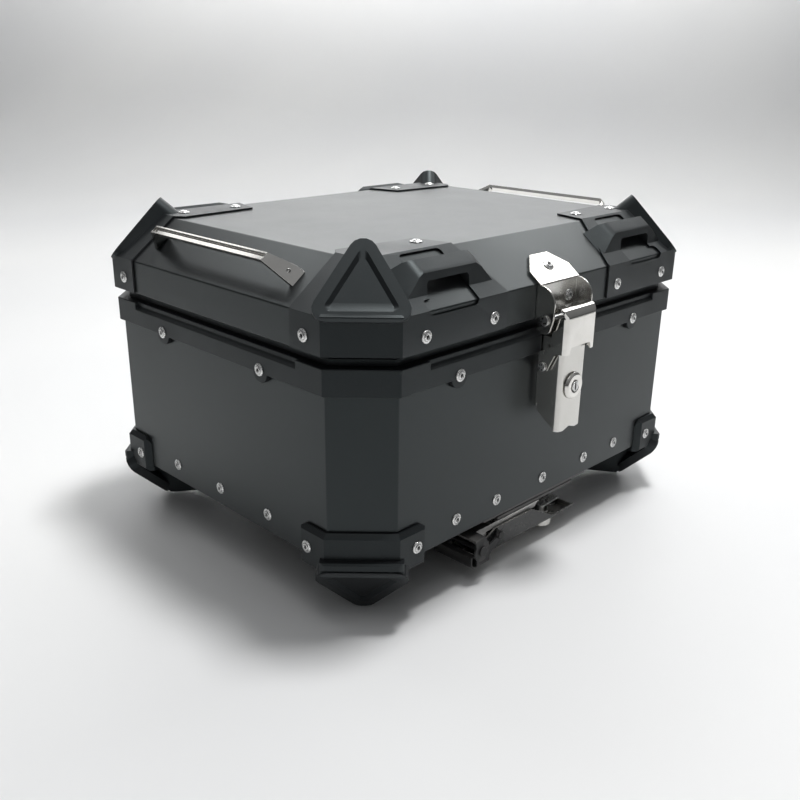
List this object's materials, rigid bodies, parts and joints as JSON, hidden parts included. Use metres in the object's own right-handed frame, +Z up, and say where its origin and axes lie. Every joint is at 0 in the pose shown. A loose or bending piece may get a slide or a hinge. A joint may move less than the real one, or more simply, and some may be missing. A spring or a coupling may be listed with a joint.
{
  "type": "motorcycle top case",
  "caption": "Lockable hard top case for a motorcycle: a sheet-metal box with a hinged lid, corner guards, tie-down handles and a draw latch, on a quick-release rack plate.",
  "frame": {"origin": "centre of the underside of the rack plate, where the case is bolted to the motorcycle rack", "axes": "+X to the right seen from the latch side, +Y from the latch side to the hinge side, +Z up"},
  "size_m": [0.4456, 0.3851, 0.2834],
  "materials": {
    "black_sheet": "satin black coated aluminium sheet",
    "black_plastic": "fine-grained matte black moulding",
    "rubber": "matte",
    "black_steel": "semi-matte black powder coat",
    "stainless": "satin stainless steel",
    "polished_steel": "polished stainless steel",
    "zinc": "plated steel"
  },
  "bodies": {
    "case": {"body_shell": "black_sheet", "body_rim": "black_plastic", "rim_seal": "rubber", "floor_mat": "rubber", "lower_guard_front_left": "black_plastic", "lower_guard_front_right": "black_plastic", "lower_guard_rear_left": "black_plastic", "lower_guard_rear_right": "black_plastic", "hinge_leaf_body": "black_steel", "hinge_pin": "zinc", "latch_base": "stainless", "latch_lever_pin": "zinc", "rack_latch_base": "stainless", "rack_latch_lever_pin": "zinc", "carrier_plate": "black_steel", "rack_latch_spacer": "black_steel", "rack_plate": "black_steel"},
    "lid": {"lid_shell": "black_sheet", "lid_frame": "black_plastic", "upper_guard_front_left": "black_plastic", "upper_guard_front_right": "black_plastic", "upper_guard_rear_left": "black_plastic", "upper_guard_rear_right": "black_plastic", "lid_handle_left": "polished_steel", "lid_handle_right": "polished_steel", "hinge_leaf_lid": "black_steel", "catch_front": "stainless", "catch_front_pin": "zinc"},
    "latch_lever": {"latch_lever": "stainless", "latch_claw_pin": "zinc", "latch_lock_body": "polished_steel"},
    "latch_claw": {"latch_claw": "polished_steel"},
    "latch_lock": {"latch_lock_plug": "zinc", "latch_lock_cam": "zinc"},
    "rack_lever": {"rack_latch_lever": "stainless", "rack_latch_claw_pin": "zinc", "rack_latch_lock_body": "polished_steel"},
    "rack_claw": {"rack_latch_claw": "polished_steel"},
    "rack_lock": {"rack_latch_lock_plug": "zinc", "rack_latch_lock_cam": "zinc"},
    "lock_bar": {"lock_bar": "black_steel", "rack_catch": "stainless", "rack_catch_pin": "zinc"}
  },
  "joints": [
    {"name": "lid_hinge", "type": "hinge", "parent": "case", "child": "lid", "pos_m": [0, 0.1798, 0.2056], "axis": [-1, 0, 0], "range_deg": [0, 95]},
    {"name": "latch_lever_hinge", "type": "hinge", "parent": "case", "child": "latch_lever", "pos_m": [-0.0045, -0.1857, 0.1883], "axis": [-1, 0, 0], "range_deg": [0, 80]},
    {"name": "latch_claw_hinge", "type": "hinge", "parent": "latch_lever", "child": "latch_claw", "pos_m": [-0.0045, -0.1811, 0.1713], "axis": [-1, 0, 0], "range_deg": [-85, 0]},
    {"name": "latch_lock_turn", "type": "hinge", "parent": "latch_lever", "child": "latch_lock", "pos_m": [-0.0045, -0.1967, 0.155], "axis": [0, -1, 0], "range_deg": [0, 90]},
    {"name": "rack_lever_hinge", "type": "hinge", "parent": "case", "child": "rack_lever", "pos_m": [-0.075, -0.1545, 0.026], "axis": [0, 1, 0], "range_deg": [0, 68]},
    {"name": "rack_claw_hinge", "type": "hinge", "parent": "rack_lever", "child": "rack_claw", "pos_m": [-0.058, -0.1545, 0.0306], "axis": [0, 1, 0], "range_deg": [-72, 0]},
    {"name": "rack_lock_turn", "type": "hinge", "parent": "rack_lever", "child": "rack_lock", "pos_m": [0.024, -0.1545, 0.015], "axis": [0, 0, -1], "range_deg": [0, 90]},
    {"name": "lock_bar_slide", "type": "slide", "parent": "case", "child": "lock_bar", "axis": [-1, 0, 0], "range_m": [0, 0.006]}
  ],
  "couplings": [
    {"joint": "latch_claw_hinge", "follows": "latch_lever_hinge", "ratio": -1},
    {"joint": "rack_claw_hinge", "follows": "rack_lever_hinge", "ratio": -1}
  ]
}
